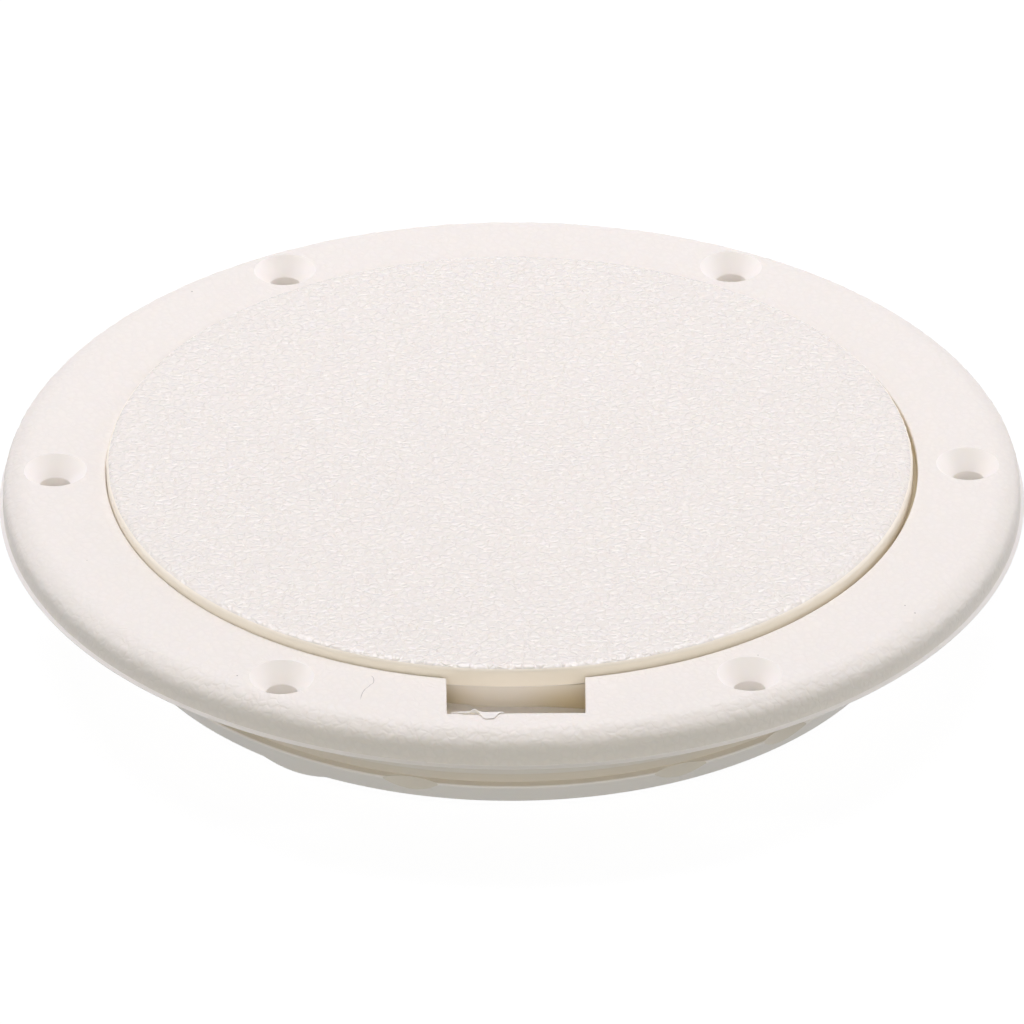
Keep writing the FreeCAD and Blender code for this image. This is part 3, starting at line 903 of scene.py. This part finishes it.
@dataclass
class PrySlot:
    """The tool shape of the pry slot, in millimetres.

    Its floor is uneven as moulded: a low land at the left and a slope down to the right, where
    the back wall leans out a little.
    """

    ring: DeckRing
    half_width: float = 9.5
    outside: float = 65.4
    back_radius: float = 56.35
    floor: float = 0.3
    land_height: float = 0.24
    land_end: float = -6.2
    slope_start: float = 3.0
    slope_drop: float = 0.2
    lean: float = 1.1
    mouth_round: float = 0.2
    columns: int = 61
    rows: int = 9
    wall_levels: int = 8

    def as_object(self) -> Object:
        """Make the closed tool shape.

        The floor and the lid of the tool are grids: x runs across the slot and y from its outer
        edge to the back wall, an arc round the ring's axis. The walls join the two grids'
        borders, upright, and flare outwards by a quarter circle at the mouth.

        Returns:
            The tool.
        """
        across = np.linspace(-1.0, 1.0, self.columns)[:, None]
        inward = np.linspace(0.0, 1.0, self.rows)[None, :]
        x = np.broadcast_to(across * self.half_width, (self.columns, self.rows))
        back = -np.sqrt(self.back_radius ** 2 - x ** 2)
        right = np.clip((x - self.slope_start) / (self.half_width - self.slope_start), 0.0, 1.0)
        step = np.clip((x - self.land_end) / 0.8 + 0.5, 0.0, 1.0)
        floor = (self.floor + self.land_height * (1.0 - step * step * (3.0 - 2.0 * step))
                 - self.slope_drop * right)
        leaning = back - self.lean * right ** 1.5
        low = np.stack([x, -self.outside + (leaning + self.outside) * inward,
                        np.broadcast_to(floor, x.shape)], axis=-1)
        high = np.stack([x, -self.outside + (back + self.outside) * inward, np.zeros_like(x)], axis=-1)
        number = np.arange(self.columns * self.rows).reshape(self.columns, self.rows)
        border = np.concatenate([number[:-1, 0], number[-1, :-1], number[:0:-1, -1], number[0, :0:-1]])
        low_rim, high_rim = low.reshape(-1, 3)[border], high.reshape(-1, 3)[border]
        side = np.where(np.abs(high_rim[:, 0]) > self.half_width - 1e-6, np.sign(high_rim[:, 0]), 0.0)
        front = np.where(high_rim[:, 1] < -self.outside + 1e-6, -1.0, 0.0)
        levels = []
        top = self.ring.flange_top
        for share in np.linspace(0.0, 1.0, self.wall_levels)[1:]:
            level = low_rim + (high_rim - low_rim) * share
            level[:, 2] = low_rim[:, 2] + (top - self.mouth_round - low_rim[:, 2]) * share
            levels.append(level)
        for turn in np.radians([25.0, 50.0, 72.0]):
            flared = high_rim.copy()
            flared[:, 0] += side * self.mouth_round * (1.0 - math.cos(turn))
            flared[:, 1] += front * self.mouth_round * (1.0 - math.cos(turn))
            flared[:, 2] = top - self.mouth_round + self.mouth_round * math.sin(turn) * 1.06
            levels.append(flared)
        last = levels[-1].copy()
        last[:, 2] = top + 1.0
        levels.append(last)
        cap = high.reshape(-1, 3).copy()
        cap[:, 2] = top + 1.0
        cap[border] = last
        points = np.concatenate([low.reshape(-1, 3), *levels[:-1], cap])
        count, loop = self.columns * self.rows, len(border)
        rims = [border] + [count + i * loop + np.arange(loop) for i in range(len(levels) - 1)]
        rims.append(count + (len(levels) - 1) * loop + border)
        walls = [np.stack([a, np.roll(a, -1), np.roll(b, -1), b], axis=1) for a, b in zip(rims, rims[1:])]
        quads = np.stack([number[:-1, :-1], number[:-1, 1:], number[1:, 1:], number[1:, :-1]],
                         axis=-1).reshape(-1, 4)
        lid = quads[:, ::-1] + count + (len(levels) - 1) * loop
        faces = np.concatenate([quads, *walls, lid]).tolist()
        kinds = np.full(len(faces), int(Face.SMOOTH))
        # The slot's floor takes the lighter skin: painted light on the floor.
        kinds[:len(quads)] = int(Face.PAINTED_LIGHT)
        return Surface(points, faces, kinds).as_object("pry_slot_tool", self.ring.materials)


@dataclass
class SlotFlash:
    """A thin tongue of flash left on the pry slot's outer edge, in millimetres."""

    ring: DeckRing
    start: float = -9.0
    end: float = -1.6
    edge: float = -65.3
    fold_at: float = -3.75
    fold_reach: float = 1.5
    fold_half_width: float = 1.15
    tip_at: float = -5.7
    tip_height: float = 0.45
    rim_reach: float = 0.32
    thickness: float = 0.18

    def as_object(self) -> Object:
        """Make the tongue.

        Its section is a flat ellipse whose reach out over the flange is a narrow rim plus a flat
        bell curve at the fold, both closed to nothing at the two ends. A second bell curve lifts
        it to a small standing tip.

        Returns:
            The closed shape.
        """
        along = np.linspace(0.0, 1.0, 61)[1:-1]
        x = self.start + (self.end - self.start) * along
        close = np.clip(np.minimum(along, 1.0 - along) / 0.12, 0.0, 1.0) ** 0.5
        bell = np.exp(-((x - self.fold_at) / self.fold_half_width) ** 4)
        tip = np.exp(-((x - self.tip_at) / 0.55) ** 2)
        ripple = lattice_noise(np.stack([x, x * 0, x * 0], axis=1), 0.9)
        reach = (self.rim_reach * (0.5 + ripple) + self.fold_reach * bell) * close
        thick = (self.thickness * (0.6 + 0.8 * ripple) + self.tip_height * tip) * close
        turn = np.arange(16) * 2 * math.pi / 16
        y = self.edge - reach[:, None] * (0.5 + 0.5 * np.cos(turn)[None, :]) + 0.12 * close[:, None]
        z = self.ring.flange_top + thick[:, None] * (0.35 + 0.65 * np.sin(turn)[None, :])
        points = np.stack([np.broadcast_to(x[:, None], y.shape), y, z], axis=-1).reshape(-1, 3)
        quads = grid_quads(len(along), len(turn), wrap_rows=False)
        ends = [list(range(len(turn))), list(range(len(points) - 1, len(points) - len(turn) - 1, -1))]
        faces = quads.tolist() + ends
        surface = Surface(points, faces, np.full(len(faces), int(Face.SMOOTH)))
        return surface.as_object("slot_flash_tool", self.ring.materials)


@dataclass
class Lid:
    """The press-in lid: grained disc, plug with its seal groove, boss and ribs, one moulding.

    Sizes are in millimetres. Its top, radius and middle are read from the frame. The edge of its
    face is two arcs with the corners edge_in and edge_down from the rim's top.
    """

    top: float
    rim_radius: float
    middle: np.ndarray
    plug_bottom: float
    materials: list[Material]
    segments: int = 1080
    edge_relief: float = 0.13
    face_rows: tuple[float, float] = (14.0, 38.0)
    edge_in: float = 0.76
    edge_down: float = 0.507
    edge_rounds: tuple[float, float] = (1.6, 0.72)
    side_row: float = 1.35
    rim_height: float = 3.66
    plug_radius: float = 53.2
    plug_lead: float = 0.8
    plug_inner_radius: float = 48.8
    groove_radius: float = 50.8
    groove_top: float = 1.5
    groove_bottom: float = -1.3
    hub_radius: float = 7.0
    rib_bottom: float = -0.3
    rib_half_width: float = 0.9
    rib_count: int = 6

    def section(self) -> Section:
        """The lid's section, from the middle of its face outwards and back to the boss."""
        rim, seat, plug, groove = self.rim_radius, self.rim_height, self.plug_radius, self.groove_radius
        top, foot, lead, relief = self.top, self.plug_bottom, self.plug_lead, self.edge_relief
        return rounded_section([
            *[Corner(radius, top, face=Face.GRAINED) for radius in (0.0, *self.face_rows)],
            Corner(rim - self.edge_in, top, self.edge_rounds[0], 5, Face.GRAINED, relief),
            # The rim's lower round and side take the lighter, warmer skin: painted light bleeding through the
            # rim.
            Corner(rim, top - self.edge_down, self.edge_rounds[1], 6, Face.PAINTED_LIGHT, relief),
            Corner(rim, top - self.side_row, 0.0, 3, Face.PAINTED_LIGHT, relief),
            Corner(rim, seat, 0.15, 3), Corner(plug, seat, 0.2, 2),
            Corner(plug, self.groove_top, 0.15, 2), Corner(groove, self.groove_top, 0.2, 2),
            Corner(groove, self.groove_bottom, 0.2, 2), Corner(plug, self.groove_bottom, 0.15, 2),
            Corner(plug, foot + lead, 0.3, 2), Corner(plug - lead, foot, 0.3, 2),
            Corner(self.plug_inner_radius, foot, 0.3, 3), Corner(self.plug_inner_radius, seat, 0.5, 4),
            Corner(self.hub_radius, seat, 0.5, 4), Corner(self.hub_radius, self.rib_bottom, 0.3, 3),
            Corner(0.0, self.rib_bottom),
        ], closed=False)

    def rib(self, angle: float) -> Object:
        """One rib: a bar with rounded lower edges, from the boss to the plug's wall.

        Args:
            angle: the rib's bearing from +X, in degrees.

        Returns:
            The closed bar.
        """
        half, low = self.rib_half_width, self.rib_bottom
        outline = rounded_section([
            Corner(half, self.rim_height + 0.5), Corner(half, low, 0.3, 3), Corner(-half, low, 0.3, 3),
            Corner(-half, self.rim_height + 0.5),
        ], closed=True).points
        turn = math.radians(angle)
        ahead, aside = np.array([math.cos(turn), math.sin(turn)]), np.array([-math.sin(turn), math.cos(turn)])
        ends = np.array([self.hub_radius - 0.4, self.plug_inner_radius + 0.4])
        flat = (self.middle + ends[:, None, None] * ahead + outline[None, :, :1] * aside)
        height = np.broadcast_to(outline[None, :, 1:], flat.shape[:2] + (1,))
        points = np.concatenate([flat, height], axis=-1).reshape(-1, 3)
        count = len(outline)
        faces = grid_quads(2, count, wrap_rows=False).tolist()
        faces += [list(range(count)), list(range(2 * count - 1, count - 1, -1))]
        surface = Surface(points, faces, np.full(len(faces), int(Face.SMOOTH)))
        return surface.as_object("rib_tool", self.materials)

    def build(self) -> Object:
        """Make the dressed lid."""
        lid = turned_disc(self.section(), self.segments, self.middle).as_object("lid_moulding", self.materials)
        for i in range(self.rib_count):
            put_in(lid, self.rib(i * 360.0 / self.rib_count), Solver.JOIN)
        smooth_finish(lid)
        return lid


@dataclass
class SealRing:
    """The rubber seal ring in the lid's groove: a square section with worn round corners."""

    top: float
    bottom: float
    outer_radius: float
    middle: np.ndarray
    material: Material
    width: float = 2.6
    corner_round: float = 0.6

    def build(self) -> Object:
        """Make the hoop."""
        inner = self.outer_radius - self.width
        places = ((inner, self.top), (self.outer_radius, self.top), (self.outer_radius, self.bottom),
                  (inner, self.bottom))
        section = rounded_section([Corner(*place, self.corner_round, 5) for place in places], closed=True)
        surface = turned_ring(section.dressed(Face(0)), 360, self.middle)
        hoop = surface.as_object("seal_hoop", [self.material])
        hoop.data.shade_smooth()
        return hoop


@dataclass(frozen=True)
class StudioLamp:
    """One soft lamp: where it hangs, its size and power in metres and watts, and its colour."""

    name: str
    place: tuple[float, float, float]
    size: tuple[float, float]
    power: float
    colour: tuple[float, float, float] = (1.0, 1.0, 1.0)

    def build(self, target: Vector) -> None:
        """Hang the lamp and turn it to the object.

        Args:
            target: the point it faces.
        """
        data = bpy.data.lights.new(self.name, "AREA")
        data.shape = "RECTANGLE"
        data.size, data.size_y = self.size
        data.energy = self.power
        data.color = self.colour
        lamp = new_object(self.name, data)
        lamp.location = self.place
        lamp.rotation_euler = (target - Vector(self.place)).to_track_quat("-Z", "Y").to_euler()


@dataclass(frozen=True)
class Camera:
    """The photograph's camera: a long lens, a third of the way up, looking along +Y.

    Attributes:
        azimuth, elevation, roll: its direction, in degrees.
        distance: from the aim to the lens, in metres.
        aim_height: height of the aim above the deck plane, in metres.
        focal_pixels: focal length in pixels of the image.
        image_side: width and height of the image, in pixels.
        shift_right, shift_up: how far the aim lies from the image's middle, in pixels.
    """

    azimuth: float = -0.48
    elevation: float = 30.96
    roll: float = -0.149
    distance: float = 2.016
    aim_height: float = 0.005
    focal_pixels: float = 14358.0
    image_side: float = 1024.0
    shift_right: float = -0.3
    shift_up: float = 45.6
    sensor: float = 36.0

    def build(self) -> None:
        """Make the camera and give it to the scene."""
        turn, rise, roll = (math.radians(a) for a in (self.azimuth, self.elevation, self.roll))
        back = Vector((math.sin(turn) * math.cos(rise), -math.cos(turn) * math.cos(rise), math.sin(rise)))
        right = (-back).cross(Vector((0, 0, 1))).normalized()
        up = right.cross(-back)
        leaning_right = math.cos(roll) * right + math.sin(roll) * up
        leaning_up = math.cos(roll) * up - math.sin(roll) * right
        data = bpy.data.cameras.new("photo_camera")
        data.sensor_width = self.sensor
        data.lens = self.focal_pixels / self.image_side * self.sensor
        data.shift_x = -self.shift_right / self.image_side
        data.shift_y = -self.shift_up / self.image_side
        data.clip_end = 20.0
        camera = new_object("photo_camera", data)
        axes = Matrix((leaning_right, leaning_up, back)).transposed()
        camera.matrix_world = Matrix.Translation(Vector((0, 0, self.aim_height)) + back * self.distance) \
            @ axes.to_4x4()
        bpy.context.scene.camera = camera


@dataclass
class Studio:
    """The plain studio: a light table for a floor and soft lamps above and round it.

    Attributes:
        floor_height, floor_half: where the floor lies, and half its side.
        floor_tone: the floor's own grey.
        floor_seen: the white that the floor shows where it is seen.
        floor_glow: light that the floor sends up to the object.
        surround: light from the surroundings.
        lamps: the soft lamps.
    """

    floor_height: float
    floor_half: float = 2.5
    floor_tone: float = 0.1
    floor_seen: float = 0.95
    floor_glow: tuple[float, float, float] = (0.23, 0.234, 0.226)
    surround: tuple[float, float, float] = (0.02, 0.02, 0.02)
    lamps: tuple[StudioLamp, ...] = field(default_factory=lambda: (
        StudioLamp("top_softbox", (-0.05, 0.48, 1.1), (1.2, 0.5), 11.9, (1.0, 0.985, 1.075)),
        StudioLamp("back_softbox", (0.0, 1.25, 1.12), (1.6, 0.25), 0.5, (1.0, 0.985, 1.06)),
        StudioLamp("front_softbox", (0.0, -1.3, 0.56), (1.8, 1.0), 9.7, (1.0, 0.985, 0.95)),
        StudioLamp("left_softbox", (-1.2, 0.3, 0.4), (0.5, 1.0), 4.8, (1.0, 0.99, 1.06)),
        StudioLamp("right_softbox", (1.2, 0.3, 0.4), (0.5, 1.0), 5.8, (1.0, 0.99, 1.06)),
    ))

    def white_to_camera(self, sheet: NodeSheet) -> NodeSocket:
        """1 for camera, glossy and transmission rays, which see the background, else 0."""
        path = sheet.add("ShaderNodeLightPath").outputs
        seen = sheet.math("MAXIMUM", path["Is Camera Ray"], path["Is Glossy Ray"])
        return sheet.math("MAXIMUM", seen, path["Is Transmission Ray"])

    def build_world(self) -> None:
        """Surroundings: white where they are seen, a mid tone where they light the object."""
        world = bpy.data.worlds.new("studio")
        world.use_nodes = True
        sheet = NodeSheet(world.node_tree)
        colour = sheet.blend(self.white_to_camera(sheet), (*self.surround, 1.0), (1.0,) * 4)
        sheet.fill(world.node_tree.nodes["Background"], {"Color": colour})
        bpy.context.scene.world = world

    def build_floor(self) -> None:
        """The floor: white where it is seen, with the object's shadow, and a soft glow from below."""
        half = self.floor_half
        corners = [(x * half, y * half, self.floor_height) for x, y in ((-1, -1), (1, -1), (1, 1), (-1, 1))]
        mesh = bpy.data.meshes.new("floor")
        mesh.from_pydata(corners, [], [(0, 1, 2, 3)])
        floor = new_object("floor", mesh)
        material, sheet, shader = new_material("white_floor")
        seen = (*[self.floor_seen] * 3, 1.0)
        sheet.fill(shader, {
            "Base Color": (*[self.floor_tone] * 3, 1.0), "Roughness": 0.9, "Specular IOR Level": 0.0,
            "Emission Color": sheet.blend(self.white_to_camera(sheet), (*self.floor_glow, 1.0), seen),
            "Emission Strength": 1.0})
        mesh.materials.append(material)

    def build(self) -> None:
        """Build the floor, the surroundings and the lamps."""
        self.build_world()
        self.build_floor()
        for lamp in self.lamps:
            lamp.build(Vector((0.0, 0.0, 0.0)))


def main() -> None:
    """Load the frame, build the studio and the pieces, and log their face counts."""
    logging.basicConfig(level=logging.INFO, format="%(name)s: %(message)s")
    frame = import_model()
    LOG.info("frame loaded with %s", ", ".join(sorted(frame["nodes"])))
    bpy.context.scene.view_settings.view_transform = "Standard"
    Camera().build()

    grain, tone, marks, painted_shade = (
        kind().group() for kind in (PebbleGrain, ToneDrift, SkinMarks, RecessPaintedShade))
    ring_skin = PlasticFinish("ring_grained_skin", grain_height=0.03, roughness=0.52).build(grain, tone, marks)
    # The ring's smooth skin mixes in the recess painted shade: a warm darkening in the slot, on the recess
    # ledge and in the groove.
    ring_smooth = PlasticFinish("ring_smooth_skin", mark_and_shade_colour=(0.60, 0.50, 0.31)).build(grain, tone, painted_shade)
    # The ring's lighter skin paints light on the lip, the bead, the countersinks and the slot's floor.
    ring_painted_light = PlasticFinish("ring_painted_light_skin", (0.985, 0.935, 0.875), roughness=0.55).build(grain, tone)
    lid_skin = PlasticFinish("lid_grained_skin", grain_height=0.08, roughness=0.26).build(grain, tone)
    lid_smooth = PlasticFinish("lid_smooth_skin").build(grain, tone)
    # The lid's lighter, warmer skin paints light bleeding through the rim onto its side.
    lid_painted_light = PlasticFinish("lid_painted_light_skin", (0.98, 0.905, 0.77), scatter=0.0).build(grain, tone)
    rubber = RubberFinish().build()

    low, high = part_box("deck_ring")
    Studio(floor_height=low.z).build()
    ring = DeckRing(high.x / MM, high.z / MM, low.z / MM, [ring_skin, ring_smooth, ring_painted_light]).build()
    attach(ring, "ring")
    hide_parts("deck_ring")
    LOG.info("ring_moulding: %d faces", len(ring.data.polygons))

    low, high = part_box("lid")
    middle = np.array([(low.x + high.x) / 2, (low.y + high.y) / 2]) / MM
    skins = [lid_skin, lid_smooth, lid_painted_light]
    lid = Lid(high.z / MM, (high.x - low.x) / 2 / MM, middle, low.z / MM, skins).build()
    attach(lid, "lid")
    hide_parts("lid")
    LOG.info("lid_moulding: %d faces", len(lid.data.polygons))

    low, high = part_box("seal_ring")
    seal = SealRing(high.z / MM, low.z / MM, (high.x - low.x) / 2 / MM, middle, rubber).build()
    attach(seal, "lid")
    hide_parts("seal_ring")
    LOG.info("seal_hoop: %d faces", len(seal.data.polygons))


if __name__ == "__main__":
    main()
